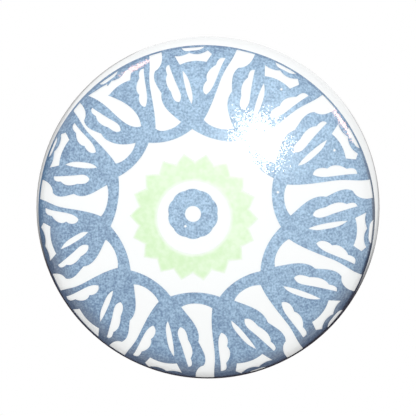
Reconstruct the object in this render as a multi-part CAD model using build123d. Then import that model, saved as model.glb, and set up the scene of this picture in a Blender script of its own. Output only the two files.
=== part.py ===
from build123d import *
import math
import os

# Cabinet knob of glazed ceramic with a fired print on its face.
# Millimetres. The origin is the middle of the foot's flat back, where the knob meets the door.
# The knob's axis is Y, its face looks along -Y, and +Z is up when it is mounted.

# Driving dimensions of the ceramic head
knob_diameter = 40.0
face_radius = 42.0
shoulder_radius = 4.5
side_height = 3.6
rim_back_radius = 3.5
underside_rise = 3.5
cove_radius = 4.0
neck_diameter = 14.0
neck_length = 7.5
flare_radius = 4.0
foot_flare = 3.0
foot_diameter = 19.0
foot_height = 2.5
foot_top_radius = 1.5
foot_edge_radius = 0.6

# Driving dimensions of the brass insert and its seat
insert_diameter = 7.0
insert_length = 11.0
insert_recess = 0.3
insert_groove_width = 2.0
insert_groove_depth = 0.4
insert_chamfer = 0.4
thread_core_diameter = 3.3
cement_gap = 0.1
bore_end_gap = 0.7
bore_mouth_chamfer = 0.4

# Driving dimensions of the print, which is built up from its middle outwards
print_thickness = 0.04
print_margin = 0.5
print_edge_line = 0.16
print_edge_angle = 50.0
print_edge_squeeze = 0.1
print_edge_spread = 0.15
centre_hole_diameter = 1.84
centre_ring_width = 1.97
centre_lobe_count = 10
centre_lobe_height = 0.12
centre_lobe_angle = -17.2
centre_gap = 1.32
sun_band_width = 2.23
sun_tooth_count = 18
sun_tooth_height = 0.95
sun_tooth_angle = -1.2
sun_gap = 1.6
scallop_depth = 0.9
leaf_count = 11
leaf_angle = 24.6
leaf_tip_margin = 0.17

# The leaves were drawn by hand. Each stands some degrees off its even place, one is spread by these shares of
# the pitch, and the slots and bow of another stand further out by this share of the leaf's height.
leaf_leans = [0.7, 1.9, 2.2, 0.3, -1.7, -0.2, -0.2, -0.6, -0.2, -0.3, 0.1]
odd_leaf = 3
odd_leaf_spread_left = 0.05
odd_leaf_spread_right = 0.075
raised_leaf = 6
raised_leaf_lift = 0.04

# The print was laid on off centre, and the leaf ring drifts as it goes outwards: places as (right, up)
centre_middle = Vector(-1.72, 0.0)
sun_middle = Vector(-1.62, -0.45)
leaf_root_middle = Vector(-1.8, -0.06)
leaf_rim_middle = Vector(-0.3, -0.56)
edge_middle = Vector(-0.16, -0.38)

# Heights above the foot's back, which the profile is drawn with
knob_radius = knob_diameter / 2
neck_radius = neck_diameter / 2
foot_radius = foot_diameter / 2
flare_top = foot_height + foot_flare
neck_top = flare_top + neck_length
rim_corner = neck_top + underside_rise
widest = rim_corner + side_height

# The dome runs into the shoulder where both have the same slope
shoulder_reach = knob_radius - shoulder_radius
shoulder_slope = math.asin(shoulder_reach / (face_radius - shoulder_radius))
dome_middle = widest - (face_radius - shoulder_radius) * math.cos(shoulder_slope)
apex = dome_middle + face_radius

# The insert and its seat
bore_radius = insert_diameter / 2 + cement_gap
bore_depth = insert_recess + insert_length + bore_end_gap

# Radii of the print's rings
centre_hole_radius = centre_hole_diameter / 2
centre_ring_radius = centre_hole_radius + centre_ring_width
sun_inner_radius = centre_ring_radius + centre_gap
sun_valley_radius = sun_inner_radius + sun_band_width
sun_tip_radius = sun_valley_radius + sun_tooth_height
scallop_radius = sun_tip_radius + sun_gap
leaf_root_radius = scallop_radius + scallop_depth
print_radius = knob_radius - print_margin
leaf_height = print_radius - leaf_tip_margin - leaf_root_radius
leaf_pitch = 360.0 / leaf_count


def axial(radius, height):
    """A point of a turned profile: its distance from the axis and its height above the foot's back."""
    return (radius, -height)


def on_arc(middle_radius, middle_height, radius, slope):
    """The point of a profile arc where the surface has turned by this slope from facing forwards."""
    return axial(middle_radius + radius * math.sin(slope), middle_height + radius * math.cos(slope))


def face_curve(lift):
    """The dome and shoulder, from the axis to the widest circle, lifted off the ceramic by this much."""
    dome = face_radius + lift
    shoulder = shoulder_radius + lift
    start = on_arc(0, dome_middle, dome, 0)
    half_dome = on_arc(0, dome_middle, dome, shoulder_slope / 2)
    join = on_arc(0, dome_middle, dome, shoulder_slope)
    half_shoulder = on_arc(shoulder_reach, widest, shoulder, (shoulder_slope + math.pi / 2) / 2)
    end = on_arc(shoulder_reach, widest, shoulder, math.pi / 2)
    return [ThreePointArc(start, half_dome, join), ThreePointArc(join, half_shoulder, end)]


def turned(edges):
    """Turn a closed profile round the knob's axis."""
    return revolve(make_face(edges), Axis.Y)


def make_knob_head():
    """The ceramic casting: dome, shoulder, side, hollowed underside, neck and foot, with a blind hole."""
    back = FilletPolyline(
        axial(knob_radius, widest),
        axial(knob_radius, rim_corner),
        axial(neck_radius, neck_top),
        axial(neck_radius, flare_top),
        axial(foot_radius, foot_height),
        axial(foot_radius, 0),
        axial(bore_radius + bore_mouth_chamfer, 0),
        radius=[rim_back_radius, cove_radius, flare_radius, foot_top_radius, foot_edge_radius],
    )
    hole = Polyline(
        axial(bore_radius + bore_mouth_chamfer, 0),
        axial(bore_radius, bore_mouth_chamfer),
        axial(bore_radius, bore_depth),
        axial(0, bore_depth),
        axial(0, apex),
    )
    return turned(face_curve(0) + back.edges() + hole.edges())


def make_threaded_insert():
    """The brass bush, with a groove that keys it into the cement and a chamfer at each end of its hole."""
    core = thread_core_diameter / 2
    outside = insert_diameter / 2
    back = insert_recess
    front = insert_recess + insert_length
    groove_back = (back + front - insert_groove_width) / 2
    groove_front = groove_back + insert_groove_width
    outline = Polyline(
        axial(core + insert_chamfer, back),
        axial(outside, back),
        axial(outside, groove_back),
        axial(outside - insert_groove_depth, groove_back),
        axial(outside - insert_groove_depth, groove_front),
        axial(outside, groove_front),
        axial(outside, front),
        axial(core + insert_chamfer, front),
        axial(core, front - insert_chamfer),
        axial(core, back + insert_chamfer),
        close=True,
    )
    return turned(outline.edges())


def round_point(radius, degrees, middle=Vector(0, 0)):
    """A point of the print's flat drawing, as seen from in front of the knob."""
    turn = math.radians(degrees)
    return middle + Vector(radius * math.cos(turn), radius * math.sin(turn))


def leaf_degrees(place):
    """Where a place on the leaf ring stands. Whole places are leaves, which lean off their even spacing."""
    leaf = math.floor(place)
    lean = leaf_leans[leaf % leaf_count]
    next_lean = leaf_leans[(leaf + 1) % leaf_count]
    return leaf_angle + place * leaf_pitch + lean + (next_lean - lean) * (place - leaf)


def leaf_point(leaf, across, up):
    """A point of the leaf ring. Across is a share of the pitch from the leaf's root, and up is a share of
    the way from the ring of roots to the tips. The ring drifts with its distance outwards."""
    radius = leaf_root_radius + up * leaf_height
    drift = leaf_root_middle + (leaf_rim_middle - leaf_root_middle) * (radius / print_radius) ** 2
    return round_point(radius, leaf_degrees(leaf + across), drift)


def field(leaf, sides):
    """A closed field of the leaf ring. Each side is a smooth run that starts where the last one ended."""
    edges = []
    last = sides[-1][-1]
    for side in sides:
        run = [leaf_point(leaf, across, up) for across, up in [last] + side]
        edges.append(Spline(*run) if len(run) > 2 else Line(*run))
        last = side[-1]
    return make_face(edges)


def shifted(sides, across_shift, up_shift=0.0):
    """The sides of a field, moved round the ring by a share of the pitch, and outwards."""
    return [[(across + across_shift, up + up_shift) for across, up in side] for side in sides]


def white_fields(leaf):
    """The bare places in and beside one leaf: three slots, the bow and cup at its tip, and the gap after it.
    The outer slots are notched along one side. The odd leaf is spread to both sides, and its middle slot runs
    up into the bow."""
    left_slot = [
        [(-0.22, 0.48), (-0.26, 0.61), (-0.28, 0.76), (-0.305, 0.895)],
        [(-0.265, 0.895), (-0.22, 0.8)],
        [(-0.16, 0.735), (-0.135, 0.665), (-0.15, 0.6)],
        [(-0.115, 0.53), (-0.125, 0.46), (-0.17, 0.425)],
    ]
    middle_slot = [
        [(0.02, 0.37), (0.05, 0.5), (0.1, 0.63), (0.175, 0.735)],
        [(0.165, 0.64), (0.14, 0.53), (0.085, 0.385), (0.035, 0.31)],
    ]
    open_slot = [
        [(-0.055, 0.345), (0.005, 0.555), (0.085, 0.69), (0.17, 0.82)],
        [(0.11, 0.955)],
        [(0.175, 0.965), (0.37, 1.0)],
        [(0.315, 0.88), (0.25, 0.64), (0.185, 0.4), (0.065, 0.26), (-0.025, 0.23)],
    ]
    right_slot = [
        [(0.205, 0.405), (0.25, 0.55), (0.3, 0.69), (0.34, 0.84)],
        [(0.38, 0.815), (0.385, 0.77), (0.375, 0.725)],
        [(0.4, 0.655), (0.395, 0.59), (0.35, 0.495)],
        [(0.335, 0.43), (0.295, 0.37), (0.235, 0.35)],
    ]
    bow = [
        [(0.05, 0.845), (0.21, 0.815)],
        [(0.27, 0.938)],
        [(0.19, 0.926), (0.1, 0.955)],
        [(0.0, 0.93), (-0.065, 0.95), (-0.1, 0.975)],
        [(-0.15, 0.93)],
        [(-0.105, 0.83)],
    ]
    cup = [
        [(-0.015, 0.985), (0.075, 0.976), (0.16, 0.987), (0.19, 1.02)],
        [(-0.06, 1.02)],
    ]
    gap_near_side = [
        [(0.37, 0.205), (0.465, 0.31), (0.505, 0.425), (0.49, 0.51)],
        [(0.535, 0.625), (0.55, 0.72), (0.52, 0.81)],
        [(0.44, 0.87), (0.42, 0.92), (0.435, 1.1)],
    ]
    gap_far_side = [
        [(0.61, 1.1)],
        [(0.635, 0.845), (0.665, 0.73), (0.69, 0.54), (0.715, 0.355), (0.8, 0.115)],
    ]
    gap_root_side = [[(0.65, 0.055), (0.5, 0.04), (0.35, 0.055), (0.23, 0.1)]]
    if leaf == odd_leaf:
        left_slot = shifted(left_slot, -odd_leaf_spread_left)
        middle_slot = open_slot
        right_slot = shifted(right_slot, odd_leaf_spread_right)
        bow = shifted(bow, -odd_leaf_spread_left)
        gap_near_side = shifted(gap_near_side, odd_leaf_spread_right)
    if leaf + 1 == odd_leaf:
        gap_far_side = shifted(gap_far_side, -odd_leaf_spread_left)
    if leaf == raised_leaf:
        left_slot = shifted(left_slot, 0, raised_leaf_lift)
        middle_slot = shifted(middle_slot, 0, raised_leaf_lift)
        right_slot = shifted(right_slot, 0, raised_leaf_lift)
        bow = shifted(bow, 0, raised_leaf_lift)
    gap = gap_near_side + gap_far_side + gap_root_side
    return [field(leaf, sides) for sides in (left_slot, middle_slot, right_slot, bow, cup, gap)]


def disc(radius, middle):
    """A round field of the print."""
    return Pos(middle.X, middle.Y) * Circle(radius)


def edge_oval(inset):
    """The oval that the print ends in, which is squeezed at one angle and spread across it, less an inset."""
    squeezed = print_radius - print_edge_squeeze - inset
    spread = print_radius + print_edge_spread - inset
    return Pos(edge_middle.X, edge_middle.Y) * Ellipse(squeezed, spread, rotation=print_edge_angle)


def leaf_ring_drawing():
    """The blue ring's oval outline, and the places in it that stay bare: the scalloped middle and the white
    fields of the leaves, out to the line round the edge."""
    scallops = []
    for leaf in range(leaf_count):
        root = leaf_point(leaf, 0, 0)
        lobe = leaf_point(leaf, 0.5, -scallop_depth / leaf_height)
        next_root = leaf_point(leaf + 1, 0, 0)
        scallops.append(ThreePointArc(root, lobe, next_root))
    bare = [make_face(scallops)]
    for leaf in range(leaf_count):
        bare += white_fields(leaf)
    return edge_oval(0), (Sketch() + bare) & edge_oval(print_edge_line)


def sun_ring_drawing():
    """The green ring's pointed outline, and the round place inside it that stays bare."""
    half_tooth = 180.0 / sun_tooth_count
    points = []
    for tooth in range(sun_tooth_count):
        degrees = sun_tooth_angle + 2 * half_tooth * tooth
        points.append(round_point(sun_tip_radius, degrees, sun_middle))
        points.append(round_point(sun_valley_radius, degrees + half_tooth, sun_middle))
    return make_face(Polyline(*points, close=True)), disc(sun_inner_radius, sun_middle)


def centre_ring_drawing():
    """The middle ring's outline of low lobes, and the round place inside it that stays bare."""
    half_lobe = 180.0 / centre_lobe_count
    valley_radius = centre_ring_radius - centre_lobe_height
    lobes = []
    for lobe in range(centre_lobe_count):
        degrees = centre_lobe_angle + 2 * half_lobe * lobe
        start = round_point(valley_radius, degrees - half_lobe, centre_middle)
        crown = round_point(centre_ring_radius, degrees, centre_middle)
        end = round_point(valley_radius, degrees + half_lobe, centre_middle)
        lobes.append(ThreePointArc(start, crown, end))
    return make_face(lobes), disc(centre_hole_radius, centre_middle)


def prism(flat):
    """A flat drawing drawn out along the knob's axis, from the foot's back to clear of the face."""
    return extrude(Plane.XZ * flat, apex + 2 * print_thickness)


def fired_on(drawing, skin):
    """Lay a drawing on the face: the skin inside its outline, with its bare places cut out."""
    outline, bare = drawing
    return (skin & prism(outline)) - prism(bare)


def make_print_skin():
    """A thin skin over the whole face, out to the widest circle."""
    inside = face_curve(0)
    outside = face_curve(print_thickness)
    at_axis = Line(inside[0] @ 0, outside[0] @ 0)
    at_side = Line(inside[1] @ 1, outside[1] @ 1)
    return turned(inside + outside + [at_axis, at_side])


def main():
    skin = make_print_skin()
    pieces = {
        "knob_head": make_knob_head(),
        "threaded_insert": make_threaded_insert(),
        "leaf_ring_print": fired_on(leaf_ring_drawing(), skin),
        "sun_ring_print": fired_on(sun_ring_drawing(), skin),
        "centre_ring_print": fired_on(centre_ring_drawing(), skin),
    }
    os.makedirs("parts", exist_ok=True)
    for name, piece in pieces.items():
        export_step(piece, f"parts/{name}.step")
        print(name, "volume", round(piece.volume, 2), "mm3")
    print("projection", round(apex + print_thickness, 2), "widest", round(widest, 2))


main()
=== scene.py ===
# %% [markdown]
# # A printed ceramic cabinet knob
# This lesson dresses a small piece of furniture hardware: a domed, white-glazed knob with a rosette fired
# onto its face in blue and pale green, and a brass insert in its foot for the fixing screw. The shapes
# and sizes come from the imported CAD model, which is loaded first as a fixed frame. Everything is in
# metres: the knob's axis is Y, its face looks along -Y, and the foot's flat back lies at Y = 0.

# %% Load the frame
import math

import bpy
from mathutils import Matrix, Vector


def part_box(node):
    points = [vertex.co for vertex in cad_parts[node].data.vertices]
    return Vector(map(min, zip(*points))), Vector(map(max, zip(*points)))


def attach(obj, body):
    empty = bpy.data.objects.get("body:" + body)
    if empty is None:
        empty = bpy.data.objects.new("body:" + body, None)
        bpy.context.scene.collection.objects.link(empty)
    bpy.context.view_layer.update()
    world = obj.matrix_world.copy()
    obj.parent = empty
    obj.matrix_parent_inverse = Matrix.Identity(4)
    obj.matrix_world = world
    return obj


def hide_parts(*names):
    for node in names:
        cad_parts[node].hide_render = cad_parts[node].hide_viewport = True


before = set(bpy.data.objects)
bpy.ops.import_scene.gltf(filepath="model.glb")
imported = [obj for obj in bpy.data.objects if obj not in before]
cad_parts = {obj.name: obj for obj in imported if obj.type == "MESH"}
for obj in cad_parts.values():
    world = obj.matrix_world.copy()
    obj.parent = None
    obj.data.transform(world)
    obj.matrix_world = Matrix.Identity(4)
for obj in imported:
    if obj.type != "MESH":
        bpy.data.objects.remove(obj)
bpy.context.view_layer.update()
scene = bpy.context.scene
scene.view_settings.view_transform = "Standard"
MM = 0.001
for node_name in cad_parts:
    low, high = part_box(node_name)
    print(node_name, "size in mm", [round((b - a) / MM, 2) for a, b in zip(low, high)])

# %% [markdown]
# ## The camera
# The knob was seen almost straight on, from a little above its axis and through a long lens, so that its
# face is a near circle. A camera could be placed by eye, but here it is worked out: it stands on a sphere
# round the middle of the knob's widest circle, and its lens is the one that fits the wanted width into
# the picture.

# %% Place the camera
_, head_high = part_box("knob_head")
knob_radius = head_high.x
widest_height = 20.1 * MM
aim_point = Vector((0, -widest_height, 0))
camera_distance = 0.45
camera_elevation = math.radians(5.0)
picture_width = 48.5 * MM
sensor_width = 36.0

camera_data = bpy.data.cameras.new("camera")
camera_data.sensor_width = sensor_width
camera_data.lens = sensor_width * camera_distance / picture_width
camera_data.clip_start = 10 * MM
camera = bpy.data.objects.new("camera", camera_data)
scene.collection.objects.link(camera)
to_camera = Vector((0, -math.cos(camera_elevation), math.sin(camera_elevation)))
camera.location = aim_point + to_camera * camera_distance
camera.rotation_euler = (-to_camera).to_track_quat("-Z", "Y").to_euler()
scene.camera = camera
print("camera lens in mm", round(camera_data.lens, 1))

# %% [markdown]
# ## Helpers for node trees
# Materials, the world and node groups are all node trees, so a few small helpers are enough for the whole
# lesson: one adds a node and fills in its sockets, and the others are the plain sums that masks are made
# of.

# %% Node helpers
def add_node(tree, kind, sockets=None, **settings):
    """Adds a node. Sockets maps an input's name or number to a value or to another node's output."""
    node = tree.nodes.new(kind)
    for name, value in settings.items():
        setattr(node, name, value)
    for name, value in (sockets or {}).items():
        if isinstance(value, bpy.types.NodeSocket):
            tree.links.new(value, node.inputs[name])
        else:
            node.inputs[name].default_value = value
    return node


def math_node(tree, operation, first, second=0.0, clamp=False):
    """One sum on values or outputs."""
    node = add_node(tree, "ShaderNodeMath", {0: first, 1: second}, operation=operation, use_clamp=clamp)
    return node.outputs["Value"]


def ramp(tree, value, low, high, start=0.0, end=1.0, smooth=True):
    """A value that goes from start to end as the given one goes from low to high."""
    kind = "SMOOTHSTEP" if smooth else "LINEAR"
    sockets = {"Value": value, "From Min": low, "From Max": high, "To Min": start, "To Max": end}
    return add_node(tree, "ShaderNodeMapRange", sockets, interpolation_type=kind).outputs["Result"]


def blend_colours(tree, mask, first, second):
    """A colour that goes from first to second as the mask rises."""
    node = add_node(tree, "ShaderNodeMix", data_type="RGBA")
    for name, value in (("Factor_Float", mask), ("A_Color", first), ("B_Color", second)):
        socket = next(socket for socket in node.inputs if socket.identifier == name)
        if isinstance(value, bpy.types.NodeSocket):
            tree.links.new(value, socket)
        else:
            socket.default_value = value
    return next(socket for socket in node.outputs if socket.identifier == "Result_Color")


def choose_shader(tree, mask, first, second):
    """The first shader where the mask is nought, and the second where it is one."""
    return add_node(tree, "ShaderNodeMixShader", {0: mask, 1: first.outputs[0], 2: second.outputs[0]})


print("node helpers are ready")

# %% [markdown]
# ## The white surround
# The background is plain white. Making it white with stronger lamps would burn out the glaze, so the
# world shows white only to rays that come from the camera or from a mirror, and gives the knob a weaker,
# even light.

# %% Surround
ambient_strength = 0.66
white = (1, 1, 1, 1)


def seen_directly(tree):
    """One for rays from the camera, and for those that a mirror or glass sends on."""
    path = add_node(tree, "ShaderNodeLightPath")
    mirror = math_node(tree, "MAXIMUM", path.outputs["Is Glossy Ray"], path.outputs["Is Transmission Ray"])
    return math_node(tree, "MAXIMUM", path.outputs["Is Camera Ray"], mirror)


world = bpy.data.worlds.new("white_surround")
scene.world = world
world.use_nodes = True
tree = world.node_tree
tree.nodes.clear()
ambient = add_node(tree, "ShaderNodeBackground", {"Color": white, "Strength": ambient_strength})
backdrop = add_node(tree, "ShaderNodeBackground", {"Color": white, "Strength": 1.0})
shown = choose_shader(tree, seen_directly(tree), ambient, backdrop)
add_node(tree, "ShaderNodeOutputWorld", {"Surface": shown.outputs[0]})
print("even light from all sides", ambient_strength)

# %% [markdown]
# ## The floor
# The floor is a pale sheet well below the knob. Near the knob it is an ordinary matt surface that takes
# the shadow, and further out it turns into the same white as the background, so no horizon shows. A mask
# on the distance from its middle makes that change.

# %% Lay the floor
floor_drop = 50 * MM
floor_half_width = 1.5
floor_near = 0.1
floor_far = 0.2
floor_colour = (0.8, 0.8, 0.79, 1)


def add_stage_piece(name, points, faces):
    """A piece of the stage with an empty material of its own."""
    mesh = bpy.data.meshes.new(name)
    mesh.from_pydata(points, [], faces)
    piece = bpy.data.objects.new(name, mesh)
    scene.collection.objects.link(piece)
    material = bpy.data.materials.new(name)
    material.use_nodes = True
    material.node_tree.nodes.clear()
    mesh.materials.append(material)
    return piece, material.node_tree


half = floor_half_width
floor_corners = [(-half, -half, 0), (half, -half, 0), (half, half, 0), (-half, half, 0)]
floor, tree = add_stage_piece("floor", floor_corners, [(0, 1, 2, 3)])
floor.location.z = -knob_radius - floor_drop
coords = add_node(tree, "ShaderNodeTexCoord")
away = add_node(tree, "ShaderNodeVectorMath", {0: coords.outputs["Object"]}, operation="LENGTH")
far_mask = ramp(tree, away.outputs["Value"], floor_near, floor_far)
white_mask = math_node(tree, "MULTIPLY", far_mask, seen_directly(tree))
matt = add_node(tree, "ShaderNodeBsdfDiffuse", {"Color": floor_colour})
glow = add_node(tree, "ShaderNodeEmission", {"Color": white, "Strength": 1.0})
shown = choose_shader(tree, white_mask, matt, glow)
add_node(tree, "ShaderNodeOutputMaterial", {"Surface": shown.outputs[0]})
print("floor lies", round(-floor.location.z / MM, 1), "mm below the axis")

# %% [markdown]
# ## A black card
# The head's rim turns dark on its left, underneath and on its lower right, and further up it keeps only a
# thin grey line. A shiny rim mirrors what lies beyond it, so in a studio a black card bent round the knob
# does this. Here it is part of a tube that shows in mirrors alone: the camera, the shadows and the soft
# light ignore it. Its front edge stays behind the face, so that it leaves the dome alone, and it falls
# back on both sides towards the top.

# %% Bend the card round the knob
card_radius = 45 * MM
card_front = 15 * MM
card_back = 0.5
card_start, card_left = math.radians(120.0), math.radians(165.0)
card_right, card_end = math.radians(340.0), math.radians(385.0)
card_fall = 70 * MM
card_steps = 53
card_black = (0.035, 0.02, 0.02, 1)

card_points = []
for step in range(card_steps + 1):
    angle = card_start + (card_end - card_start) * step / card_steps
    right = card_radius * math.cos(angle)
    up = card_radius * math.sin(angle)
    past_left = max(card_left - angle, 0) / (card_left - card_start)
    past_right = max(angle - card_right, 0) / (card_end - card_right)
    front = card_front - card_fall * max(past_left, past_right)
    card_points += [(right, -front, up), (right, card_back, up)]
card_faces = [(2 * step, 2 * step + 1, 2 * step + 3, 2 * step + 2) for step in range(card_steps)]
card, tree = add_stage_piece("black_card", card_points, card_faces)
card.visible_camera = False
card.visible_shadow = False
card.visible_diffuse = False
matt = add_node(tree, "ShaderNodeBsdfDiffuse", {"Color": card_black})
add_node(tree, "ShaderNodeOutputMaterial", {"Surface": matt.outputs[0]})
print("card has", len(card_faces), "flat strips")

# %% [markdown]
# ## The lamps
# One bright softbox above and to the right of the camera leaves the round highlight on the dome. A
# softbox is brightest in its middle, so a wider and weaker disc behind it, which only gloss shows, gives
# the highlight its pale surround. A sheet above the knob and a fill lamp on the left even out the light,
# and are kept out of reflections. Two small warm lamps do the opposite: they only show as short streaks
# in the shoulder's gloss. Each lamp is given by its direction from the knob, its size and its brightness,
# because brightness is what its reflection shows. Blender's power follows from that and the lamp's area.

# %% Hang the lamps
softbox_direction = Vector((0.284, -0.902, 0.326))
top_sheet_direction = Vector((0.05, 0.05, 1.0))
fill_direction = Vector((-0.8, -1.0, 0.05))
streak_directions = {"left_lamp": Vector((-0.475, -0.129, 0.87)), "right_lamp": Vector((0.86, -0.1, 0.5))}
warm = (1.0, 0.5, 0.36)


def hang_lamp(name, direction, distance, width, brightness, colour=(1, 1, 1), in_gloss=True, in_light=True):
    """A round area lamp that faces the knob from this direction."""
    data = bpy.data.lights.new(name, "AREA")
    data.shape = "DISK"
    data.size = width
    area = math.pi / 4 * width ** 2
    data.energy = brightness * math.pi * area
    data.color = colour
    lamp = bpy.data.objects.new(name, data)
    lamp.location = aim_point + direction.normalized() * distance
    lamp.rotation_euler = (-direction).to_track_quat("-Z", "Y").to_euler()
    lamp.visible_glossy = in_gloss
    lamp.visible_diffuse = in_light
    scene.collection.objects.link(lamp)
    print(name, "power in watts", round(data.energy, 2))


hang_lamp("softbox", softbox_direction, distance=0.6, width=0.177, brightness=14.0)
hang_lamp("softbox_glow", softbox_direction, distance=0.62, width=0.34, brightness=1.4, in_light=False)
hang_lamp("top_sheet", top_sheet_direction, distance=0.6, width=0.4, brightness=1.8, in_gloss=False)
hang_lamp("fill", fill_direction, distance=0.6, width=0.2, brightness=6.0, in_gloss=False)
for name, direction in streak_directions.items():
    hang_lamp(name, direction, distance=0.5, width=0.13, brightness=16.0, colour=warm, in_light=False)

# %% [markdown]
# ## Shared finishes
# Some effects turn up in more than one material. Each is a node group with named sockets: it is built
# once, and a material that uses it only sets its values. A few helpers build a group, place it, and give
# it points, noises and sums on vectors.

# %% Group helpers
def new_group(name, inputs, outputs, output_kind="NodeSocketFloat"):
    """A shader node group with named sockets, and the nodes at its two ends."""
    group = bpy.data.node_groups.new(name, "ShaderNodeTree")
    for socket, value in inputs.items():
        made = group.interface.new_socket(socket, in_out="INPUT", socket_type="NodeSocketFloat")
        made.default_value = value
    for socket in outputs:
        group.interface.new_socket(socket, in_out="OUTPUT", socket_type=output_kind)
    return group, group.nodes.new("NodeGroupInput"), group.nodes.new("NodeGroupOutput")


def use_group(tree, group, **values):
    """Places a group in a material with its own values."""
    node = tree.nodes.new("ShaderNodeGroup")
    node.node_tree = group
    for name, value in values.items():
        node.inputs[name.replace("_", " ")].default_value = value
    return node


def object_point(tree):
    """The point that is being shaded, in the knob's own frame."""
    return add_node(tree, "ShaderNodeTexCoord").outputs["Object"]


def noise(tree, point, scale, detail, roughness=0.5):
    """The grey value of a noise texture."""
    sockets = {"Vector": point, "Scale": scale, "Detail": detail, "Roughness": roughness}
    return add_node(tree, "ShaderNodeTexNoise", sockets).outputs["Fac"]


def vector_node(tree, operation, first, second=(0, 0, 0), output="Vector"):
    """One sum on vectors."""
    return add_node(tree, "ShaderNodeVectorMath", {0: first, 1: second}, operation=operation).outputs[output]


print("group helpers are ready")

# %% [markdown]
# ## A point's place on the knob
# Masks are easier to read in a maker's terms than in X, Y and Z. This group gives how far a point lies to
# the right and up as seen from in front, how far it is from the axis, and its height above the foot's
# back.

# %% Place group
knob_place, _, end = new_group("knob_place", {}, ["Right", "Up", "Radius", "Height"])
axes = add_node(knob_place, "ShaderNodeSeparateXYZ", {0: object_point(knob_place)})
right, back, up = axes.outputs
across = add_node(knob_place, "ShaderNodeCombineXYZ", {"X": right, "Y": up}).outputs["Vector"]
knob_place.links.new(right, end.inputs["Right"])
knob_place.links.new(up, end.inputs["Up"])
knob_place.links.new(vector_node(knob_place, "LENGTH", across, output="Value"), end.inputs["Radius"])
knob_place.links.new(math_node(knob_place, "MULTIPLY", back, -1.0), end.inputs["Height"])


def face_point(tree, place):
    """A point as it is seen from in front: right, up, nought."""
    sockets = {"X": place.outputs["Right"], "Y": place.outputs["Up"]}
    return add_node(tree, "ShaderNodeCombineXYZ", sockets).outputs["Vector"]


print("place group gives", [socket.name for socket in end.inputs if socket.name])

# %% [markdown]
# ## Fired grain
# Fired colour is never even: its pigment clots into specks about a quarter of a millimetre wide, over a
# slower mottle. A painted picture of specks would be fixed to one size, so two noises are added up
# instead, and the sum is stretched until it runs from nought to one.

# %% Grain group
speck_share, mottle_share = 0.65, 0.35
speck_detail, mottle_detail, mottle_roughness = 1.0, 3.0, 0.6
grain_low, grain_high = 0.36, 0.64
grain_inputs = {"Speck Scale": 4200.0, "Mottle Scale": 900.0}

fired_grain, start, end = new_group("fired_grain", grain_inputs, ["Grain"])
point = object_point(fired_grain)
specks = noise(fired_grain, point, start.outputs["Speck Scale"], speck_detail)
mottle = noise(fired_grain, point, start.outputs["Mottle Scale"], mottle_detail, mottle_roughness)
speck_part = math_node(fired_grain, "MULTIPLY", specks, speck_share)
mottle_part = math_node(fired_grain, "MULTIPLY", mottle, mottle_share)
both = math_node(fired_grain, "ADD", speck_part, mottle_part)
fired_grain.links.new(ramp(fired_grain, both, grain_low, grain_high, smooth=False), end.inputs["Grain"])
print("grain group has inputs", [socket.name for socket in start.outputs if socket.name])

# %% [markdown]
# ## Enamel facets
# Enamel on a print doesn't melt quite flat, so the highlight breaks up into sparkles at its edge. Bump
# from a smooth noise only blurs a highlight. Here each cell of a Voronoi texture is a small facet: the
# cell's own random colour says which way it leans, and a tilt says how far.

# %% Facet group
facet_inputs = {"Facet Scale": 7400.0, "Tilt": 0.086}
middle_grey = (0.5, 0.5, 0.5)

enamel_facets, start, end = new_group("enamel_facets", facet_inputs, ["Normal"], "NodeSocketVector")
cell_sockets = {"Vector": object_point(enamel_facets), "Scale": start.outputs["Facet Scale"]}
cells = add_node(enamel_facets, "ShaderNodeTexVoronoi", cell_sockets)
lean = vector_node(enamel_facets, "SUBTRACT", cells.outputs["Color"], middle_grey)
tilt_sockets = {0: lean, "Scale": start.outputs["Tilt"]}
tilt = add_node(enamel_facets, "ShaderNodeVectorMath", tilt_sockets, operation="SCALE").outputs["Vector"]
surface = add_node(enamel_facets, "ShaderNodeNewGeometry")
tilted = vector_node(enamel_facets, "ADD", surface.outputs["Normal"], tilt)
enamel_facets.links.new(vector_node(enamel_facets, "NORMALIZE", tilted), end.inputs["Normal"])
print("facets are about", round(1 / facet_inputs["Facet Scale"] / MM, 2), "mm wide")

# %% [markdown]
# ## Painted shade along the lower rim
# Along the bottom, close to the head's widest circle, the shoulder turns away from the light and mirrors
# the dark below, so a dark line lies there. It is painted into the colour as shade and reflection, over
# print and bare glaze alike, so its mask is a group as well: it takes a point's side of the knob, and then
# its height above the back.

# %% Painted lower rim shade group
# Painted shade and reflection: the side of the knob where the dark line lies, and the heights it spans.
low_rim_shade_turn = math.radians(264.0)
low_rim_shade_direction = (math.cos(low_rim_shade_turn), math.sin(low_rim_shade_turn), 0)
low_rim_shade_side_start, low_rim_shade_side_full = 0.0, 0.5 * knob_radius
low_rim_shade_bottom = widest_height + 0.85 * MM
low_rim_shade_top = widest_height + 1.7 * MM
low_rim_shade_softness = 0.12 * MM
painted_shade_dark = (0.03, 0.028, 0.045, 1)

painted_low_rim_shade, _, end = new_group("painted_low_rim_shade", {}, ["Side", "Line"])
place = use_group(painted_low_rim_shade, knob_place)
toward = vector_node(painted_low_rim_shade, "DOT_PRODUCT", face_point(painted_low_rim_shade, place), low_rim_shade_direction, "Value")
side = ramp(painted_low_rim_shade, toward, low_rim_shade_side_start, low_rim_shade_side_full)
height = place.outputs["Height"]
above_bottom = ramp(painted_low_rim_shade, height, low_rim_shade_bottom - low_rim_shade_softness, low_rim_shade_bottom + low_rim_shade_softness)
below_top = ramp(painted_low_rim_shade, height, low_rim_shade_top - low_rim_shade_softness, low_rim_shade_top + low_rim_shade_softness, 1.0, 0.0)
band = math_node(painted_low_rim_shade, "MULTIPLY", above_bottom, below_top)
painted_low_rim_shade.links.new(side, end.inputs["Side"])
painted_low_rim_shade.links.new(math_node(painted_low_rim_shade, "MULTIPLY", band, side), end.inputs["Line"])
print("pooled edge is", round((low_rim_shade_top - low_rim_shade_bottom) / MM, 2), "mm wide")

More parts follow.
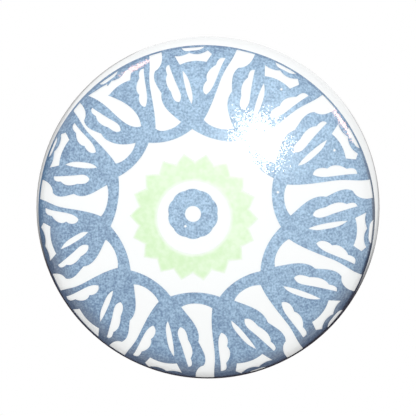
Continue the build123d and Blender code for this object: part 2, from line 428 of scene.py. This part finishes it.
# %% [markdown]
# ## Dressing a node
# A CAD node keeps its mesh and only changes its material. Every finish here starts from one Principled
# shader, and a bump node turns a height, in metres, into the way the surface leans.

# %% Material helpers
def new_material(name, **sockets):
    """A material with a Principled shader, and its tree and shader."""
    material = bpy.data.materials.new(name)
    material.use_nodes = True
    shader = material.node_tree.nodes["Principled BSDF"]
    for socket, value in sockets.items():
        shader.inputs[socket.replace("_", " ")].default_value = value
    return material, material.node_tree, shader


def add_bump(tree, shader, height, relief):
    """Leans the surface by a height that runs from nought to one, with this much relief in metres."""
    bump = add_node(tree, "ShaderNodeBump", {"Height": height, "Strength": 1.0, "Distance": relief})
    tree.links.new(bump.outputs["Normal"], shader.inputs["Normal"])


def dress(node_name, material):
    """Gives a CAD node a better material."""
    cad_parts[node_name].material_slots[0].material = material
    print(node_name, "wears", material.name)


print("material helpers are ready")

# %% [markdown]
# ## White glaze
# The body is white earthenware under a clear, glossy glaze. One Principled shader does it: a near-white
# base and a low roughness, with a slow, shallow ripple where the glaze ran before it set. The glaze stops
# short of the foot's flat back, which is wiped before firing, so there the bare clay shows: warmer, matt
# and a little grainy. A mask on the height above the back makes that change, and a noise lets its edge
# wander as a wiped edge does.

# %% Mask the bare clay
glaze_line = 0.42 * MM
glaze_line_wander = 0.35 * MM
glaze_line_softness = 0.12 * MM
wander_scale, wander_detail = 260.0, 2.0
noise_low, noise_high = 0.3, 0.7

glaze, tree, shader = new_material("white_glaze_fired", IOR=1.5)
place = use_group(tree, knob_place)
wander = noise(tree, object_point(tree), wander_scale, wander_detail)
half_wander = glaze_line_wander / 2
wander = ramp(tree, wander, noise_low, noise_high, -half_wander, half_wander, smooth=False)
height = math_node(tree, "ADD", place.outputs["Height"], wander)
glazed = ramp(tree, height, glaze_line - glaze_line_softness, glaze_line + glaze_line_softness)
print("glaze starts about", round(glaze_line / MM, 2), "mm above the back")

# %% Glaze the head
glaze_white = (0.885, 0.9, 0.905, 1)
clay_pale = (0.76, 0.69, 0.6, 1)
clay_dark = (0.66, 0.57, 0.47, 1)
clay_roughness, glaze_roughness = 0.8, 0.06
clay_speck_scale = 6000.0
ripple_scale, ripple_detail, ripple_relief = 220.0, 1.0, 0.004 * MM

clay_grain = use_group(tree, fired_grain, Speck_Scale=clay_speck_scale)
clay_colour = blend_colours(tree, clay_grain.outputs["Grain"], clay_dark, clay_pale)
colour = blend_colours(tree, glazed, clay_colour, glaze_white)
# Painted shade and reflection: the dark line along the lower rim runs over the bare glaze too.
low_rim_shade = use_group(tree, painted_low_rim_shade)
colour = blend_colours(tree, low_rim_shade.outputs["Line"], colour, painted_shade_dark)
roughness = ramp(tree, glazed, 0.0, 1.0, clay_roughness, glaze_roughness, smooth=False)
tree.links.new(colour, shader.inputs["Base Color"])
tree.links.new(roughness, shader.inputs["Roughness"])
ripple = noise(tree, object_point(tree), ripple_scale, ripple_detail)
add_bump(tree, shader, ripple, ripple_relief)
dress("knob_head", glaze)

# %% [markdown]
# ## Blue enamel
# The leaves and the ring at the middle are one blue enamel, laid on as a transfer and fired. Its colour is
# pale at the upper right and darker towards the lower left: that is painted light and shade, standing in
# for the softbox's fall of light from the upper right. On top of that the enamel is grainy everywhere. One
# value from nought to one stands for all of it, and everything else adds to it or takes from it before it
# picks a colour between the deep blue and the pale one. The enamel's glass is denser than the glaze and
# mirrors a little more, so its IOR is higher.

# %% Lay the coat and the painted light
# Painted light: the blue is palest round this spot, where the softbox's highlight falls, and deepens away
# from it.
lit_spot = (5.5 * MM, 8.5 * MM, 0)
lit_reach, lit_tone = 4 * MM, 0.7
shaded_reach, shaded_tone = 28 * MM, 0.21
grain_share = 0.68


def distance_from(tree, point, spot):
    """How far a point of the face is from this spot, seen from in front."""
    return vector_node(tree, "DISTANCE", point, spot, "Value")


blue, tree, shader = new_material("blue_enamel_fired", Roughness=0.03, IOR=1.65)
place = use_group(tree, knob_place)
point = face_point(tree, place)
# Painted light and shade across the face first, then the real grain on top.
from_lit_spot = distance_from(tree, point, lit_spot)
coat_and_light = ramp(tree, from_lit_spot, lit_reach, shaded_reach, lit_tone, shaded_tone, smooth=False)
grain = use_group(tree, fired_grain).outputs["Grain"]
speckle = ramp(tree, grain, 0.0, 1.0, -grain_share / 2, grain_share / 2, smooth=False)
coat_and_light = math_node(tree, "ADD", coat_and_light, speckle)
print("coat runs from", lit_tone, "to", shaded_tone)

# %% [markdown]
# ## The print's edge
# The transfer's outline is a slight oval, off the middle and turned. Towards it, over the shoulder, the blue
# is darkened as painted shade, where the surface turns away from the light, and right at the outline the
# print ends in a thin dark line. A mapping node turns the face into that oval's own measure, where its
# outline is at a distance of one.

# %% Paint shade over the shoulder, and the edge line
oval_middle = (-0.16 * MM, -0.38 * MM, 0)
oval_turn = math.radians(50.0)
oval_reach = (19.4 * MM, 19.65 * MM, 1)
rim_shade_start, rim_shade_full, rim_shade_share = 0.85, 0.985, 0.15
edge_line_start, edge_line_full, edge_line_share = 0.982, 0.992, 0.28

oval_sockets = {"Location": oval_middle, "Rotation": (0, 0, oval_turn), "Scale": oval_reach}
oval_sockets["Vector"] = point
in_oval = add_node(tree, "ShaderNodeMapping", oval_sockets, vector_type="TEXTURE").outputs["Vector"]
from_middle = distance_from(tree, in_oval, (0, 0, 0))
# Painted shade: the blue darkens over the shoulder, which turns away from the light.
rim = ramp(tree, from_middle, rim_shade_start, rim_shade_full, 0.0, rim_shade_share)
edge_line = ramp(tree, from_middle, edge_line_start, edge_line_full, 0.0, edge_line_share)
coat_and_light = math_node(tree, "SUBTRACT", coat_and_light, rim)
coat_and_light = math_node(tree, "SUBTRACT", coat_and_light, edge_line, clamp=True)
print("rim and edge line take up to", round(rim_shade_share + edge_line_share, 2), "from the coat")

# %% [markdown]
# ## Colour and gloss of the blue
# The finished value picks the blue. Along the bottom the rim is greyer and darker than the deep blue alone:
# that is painted shade. Towards the lower right the outline runs almost black, which is painted shade and
# reflection, and the painted shade of the lower rim lies over it. A few pinholes let the white glaze
# through: each is a small round mask. The facets give the enamel its sparkle.

# %% Fire the blue enamel
# The deep and the pale blue are the two ends of the enamel's grain and of the painted light and shade.
blue_deep = (0.13, 0.223, 0.365, 1)
blue_pale = (0.46, 0.65, 0.835, 1)
blue_shaded = (0.085, 0.095, 0.14, 1)
shade_start, shade_full, shade_share = 0.84, 0.985, 0.66
# Painted shade and reflection: where and how far the outline darkens towards the lower right.
outline_start, outline_full, outline_shade_share = 0.975, 0.99, 0.75
outline_shade_turn = math.radians(315.0)
outline_shade_direction = (math.cos(outline_shade_turn), math.sin(outline_shade_turn), 0)
outline_shade_side_start, outline_shade_side_full = 0.2 * knob_radius, 0.75 * knob_radius
pinhole_radius = 0.18 * MM
pinhole_clear = pinhole_radius / 2
pinhole_spots = [(-2.59, -1.42), (8.45, 14.12), (14.57, 7.09), (8.02, 2.43)]

colour = blend_colours(tree, coat_and_light, blue_deep, blue_pale)
low_rim_shade = use_group(tree, painted_low_rim_shade)
# Painted shade: the lower rim turns greyer and darker towards its edge.
shade = ramp(tree, from_middle, shade_start, shade_full, 0.0, shade_share)
shade = math_node(tree, "MULTIPLY", shade, low_rim_shade.outputs["Side"])
colour = blend_colours(tree, shade, colour, blue_shaded)
# Painted shade and reflection: the outline runs almost black towards the lower right.
outline = ramp(tree, from_middle, outline_start, outline_full)
toward = vector_node(tree, "DOT_PRODUCT", point, outline_shade_direction, "Value")
lower_right_shade = ramp(tree, toward, outline_shade_side_start, outline_shade_side_full, 0.0, outline_shade_share)
colour = blend_colours(tree, math_node(tree, "MULTIPLY", outline, lower_right_shade), colour, painted_shade_dark)
# Painted shade and reflection: the dark line along the lower rim lies over the print.
colour = blend_colours(tree, low_rim_shade.outputs["Line"], colour, painted_shade_dark)
for right, up in pinhole_spots:
    from_hole = distance_from(tree, point, (right * MM, up * MM, 0))
    covered = ramp(tree, from_hole, pinhole_clear, pinhole_radius)
    colour = blend_colours(tree, covered, glaze_white, colour)
tree.links.new(colour, shader.inputs["Base Color"])
tree.links.new(use_group(tree, enamel_facets).outputs["Normal"], shader.inputs["Normal"])
dress("leaf_ring_print", blue)
dress("centre_ring_print", blue)

# %% [markdown]
# ## The soft edge of the green
# The ring of points is a thin wash of pale green, which has drawn back a little at its outline, so that it
# fades there. A painted mask could do that, but the drawing's own sizes are enough: a point's distance from
# the ring's middle, and an outline that goes out and in once for each of the ring's points.

# %% Fade the wash at its outline
sun_middle = (-1.62 * MM, -0.45 * MM, 0)
sun_inner_radius, sun_valley_radius, sun_tip_radius = 4.21 * MM, 6.44 * MM, 7.39 * MM
sun_point_count, half_point = 18, 0.5
sun_turn = math.radians(-1.2)
fade_width, fade_least = 0.45 * MM, 0.35

green, tree, shader = new_material("green_enamel_fired", Roughness=0.08, IOR=1.5)
point = face_point(tree, use_group(tree, knob_place))
from_sun = vector_node(tree, "SUBTRACT", point, sun_middle)
sun_radius = vector_node(tree, "LENGTH", from_sun, output="Value")
sun_axes = add_node(tree, "ShaderNodeSeparateXYZ", {0: from_sun})
turn = math_node(tree, "ARCTAN2", sun_axes.outputs["Y"], sun_axes.outputs["X"])
turn = math_node(tree, "SUBTRACT", turn, sun_turn)
place_in_point = math_node(tree, "MULTIPLY", turn, sun_point_count / (2 * math.pi))
from_tip = math_node(tree, "PINGPONG", place_in_point, half_point)
outline = ramp(tree, from_tip, 0.0, half_point, sun_tip_radius, sun_valley_radius, smooth=False)
inside_outline = math_node(tree, "SUBTRACT", outline, sun_radius)
inside_ring = math_node(tree, "SUBTRACT", sun_radius, sun_inner_radius)
from_edge = math_node(tree, "MINIMUM", inside_outline, inside_ring)
wash = ramp(tree, from_edge, 0.0, fade_width, fade_least, 1.0)
print("wash fades over", round(fade_width / MM, 2), "mm")

# %% [markdown]
# ## Green enamel
# The white glaze shows through the wash, and it is cloudy rather than grainy. The shared grain does for
# this too, at a coarser scale. The green also pales towards the upper right, near the softbox's highlight:
# that slow fade is painted light, and it is added to the clouds before they pick a green.

# %% Fire the green enamel
green_pale = (0.785, 0.915, 0.73, 1)
green_full = (0.63, 0.835, 0.53, 1)
# Painted light: the green pales round this spot, near the softbox's highlight.
green_lit_spot = (2.5 * MM, 2.9 * MM, 0)
green_lit_reach = 11 * MM
green_lit_tone, green_far_tone = 0.77, 0.23
cloud_share, cloud_scale, cloud_bank_scale = 0.6, 1500.0, 300.0
wash_tilt = 0.02

from_lit_spot = distance_from(tree, point, green_lit_spot)
wash_and_light = ramp(tree, from_lit_spot, 0.0, green_lit_reach, green_lit_tone, green_far_tone, smooth=False)
grain = use_group(tree, fired_grain, Speck_Scale=cloud_scale, Mottle_Scale=cloud_bank_scale)
clouds = ramp(tree, grain.outputs["Grain"], 0.0, 1.0, -cloud_share / 2, cloud_share / 2, smooth=False)
wash_and_light = math_node(tree, "ADD", wash_and_light, clouds, clamp=True)
colour = blend_colours(tree, wash_and_light, green_full, green_pale)
colour = blend_colours(tree, wash, glaze_white, colour)
tree.links.new(colour, shader.inputs["Base Color"])
tree.links.new(use_group(tree, enamel_facets, Tilt=wash_tilt).outputs["Normal"], shader.inputs["Normal"])
dress("sun_ring_print", green)

# %% [markdown]
# ## The brass insert
# The screw goes into a turned brass bush that is set in the foot. In the CAD model its hole is a plain
# bore, so here a piece with a real thread stands for it. A screw modifier could wind the thread, but a
# sum is simpler: the bore's radius at any turn and height follows the thread's trapezoid, and a chamfer
# at each mouth cuts it away.

# %% Work out the thread
insert_low, insert_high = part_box("threaded_insert")
insert_radius = insert_high.x
insert_back = -insert_high.y
insert_front = -insert_low.y
core_radius = 1.65 * MM
thread_depth = 0.35 * MM
thread_pitch = 0.7 * MM
mouth_chamfer = 0.4 * MM
flank_angle = math.radians(30.0)


def thread_cut(height, turn):
    """How far the thread is cut into the bore here, as a share of its depth: flat root, 60 degree flanks."""
    flank = thread_depth * math.tan(flank_angle) / thread_pitch
    half_root = (1 - 2 * flank) / 4
    phase = (height / thread_pitch - turn) % 1.0
    return min(max((half_root + flank - abs(phase - 0.5)) / flank, 0.0), 1.0)


def bore_radius(height, turn):
    """The threaded hole's radius, with a chamfer at each mouth."""
    from_mouth = min(height - insert_back, insert_front - height)
    chamfer = core_radius + mouth_chamfer - from_mouth
    return max(core_radius + thread_depth * thread_cut(height, turn), chamfer)


print("thread has", round((insert_front - insert_back) / thread_pitch, 1), "turns")

# %% [markdown]
# ## From rings to a mesh
# The bush is one closed grid: rings of points go up its outside, where a groove keeps it from being
# pulled out of the foot, and come back down the bore. Each ring is joined to the next, and the last one
# to the first.

# %% Turn the insert
groove_width = 2.0 * MM
groove_depth = 0.4 * MM
rows_per_pitch = 12
ring_points = 72
crease_angle = math.radians(25.0)

groove_back = (insert_back + insert_front - groove_width) / 2
groove_front = groove_back + groove_width
groove_radius = insert_radius - groove_depth
outside = [(insert_back, insert_radius), (groove_back, insert_radius), (groove_back, groove_radius),
           (groove_front, groove_radius), (groove_front, insert_radius), (insert_front, insert_radius)]
turns = [step / ring_points for step in range(ring_points)]
rings = [[(height, radius, turn) for turn in turns] for height, radius in outside]
bore_rows = math.ceil((insert_front - insert_back) / thread_pitch * rows_per_pitch)
for row in range(bore_rows + 1):
    height = insert_front + (insert_back - insert_front) * row / bore_rows
    rings.append([(height, bore_radius(height, turn), turn) for turn in turns])

points = []
for ring in rings:
    for height, radius, turn in ring:
        angle = 2 * math.pi * turn
        points.append((radius * math.cos(angle), -height, radius * math.sin(angle)))
faces = []
for ring in range(len(rings)):
    this_ring = ring * ring_points
    next_ring = (ring + 1) % len(rings) * ring_points
    for step in range(ring_points):
        beside = (step + 1) % ring_points
        faces.append((this_ring + step, this_ring + beside, next_ring + beside, next_ring + step))
print("insert has", len(points), "points and", len(faces), "faces")

# %% Set the insert in the foot
insert_mesh = bpy.data.meshes.new("brass_insert")
insert_mesh.from_pydata(points, [], faces)
insert_mesh.shade_smooth()
insert_mesh.set_sharp_from_angle(angle=crease_angle)
brass_insert = bpy.data.objects.new("brass_insert", insert_mesh)
scene.collection.objects.link(brass_insert)
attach(brass_insert, "root")
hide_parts("threaded_insert")
print("insert stands for the plain bush")

# %% [markdown]
# ## Turned brass
# A lathe leaves fine rings on brass, and handling dulls it in patches. The rings are a noise that depends
# only on the radius, which both leans the surface and changes its gloss, and a slow noise mixes in the
# duller tone.

# %% Finish the brass
brass_bright = (0.74, 0.54, 0.25, 1)
brass_dull = (0.55, 0.38, 0.17, 1)
ring_mark_scale, ring_mark_detail, ring_mark_relief = 14000.0, 2.0, 0.006 * MM
patch_scale, patch_detail, patch_roughness = 900.0, 3.0, 0.6
patch_low, patch_high = 0.35, 0.7
gloss_fine, gloss_coarse, gloss_dulled = 0.22, 0.34, 0.12

brass, tree, shader = new_material("turned_brass", Metallic=1.0)
place = use_group(tree, knob_place)
along = math_node(tree, "MULTIPLY", place.outputs["Radius"], ring_mark_scale)
mark_sockets = {"W": along, "Scale": 1.0, "Detail": ring_mark_detail}
marks = add_node(tree, "ShaderNodeTexNoise", mark_sockets, noise_dimensions="1D").outputs["Fac"]
patches = noise(tree, object_point(tree), patch_scale, patch_detail, patch_roughness)
patches = ramp(tree, patches, patch_low, patch_high)
gloss = ramp(tree, marks, noise_low, noise_high, gloss_fine, gloss_coarse)
gloss = math_node(tree, "ADD", gloss, math_node(tree, "MULTIPLY", patches, gloss_dulled))
tree.links.new(blend_colours(tree, patches, brass_bright, brass_dull), shader.inputs["Base Color"])
tree.links.new(gloss, shader.inputs["Roughness"])
add_bump(tree, shader, marks, ring_mark_relief)
insert_mesh.materials.append(brass)
print("insert wears", brass.name)
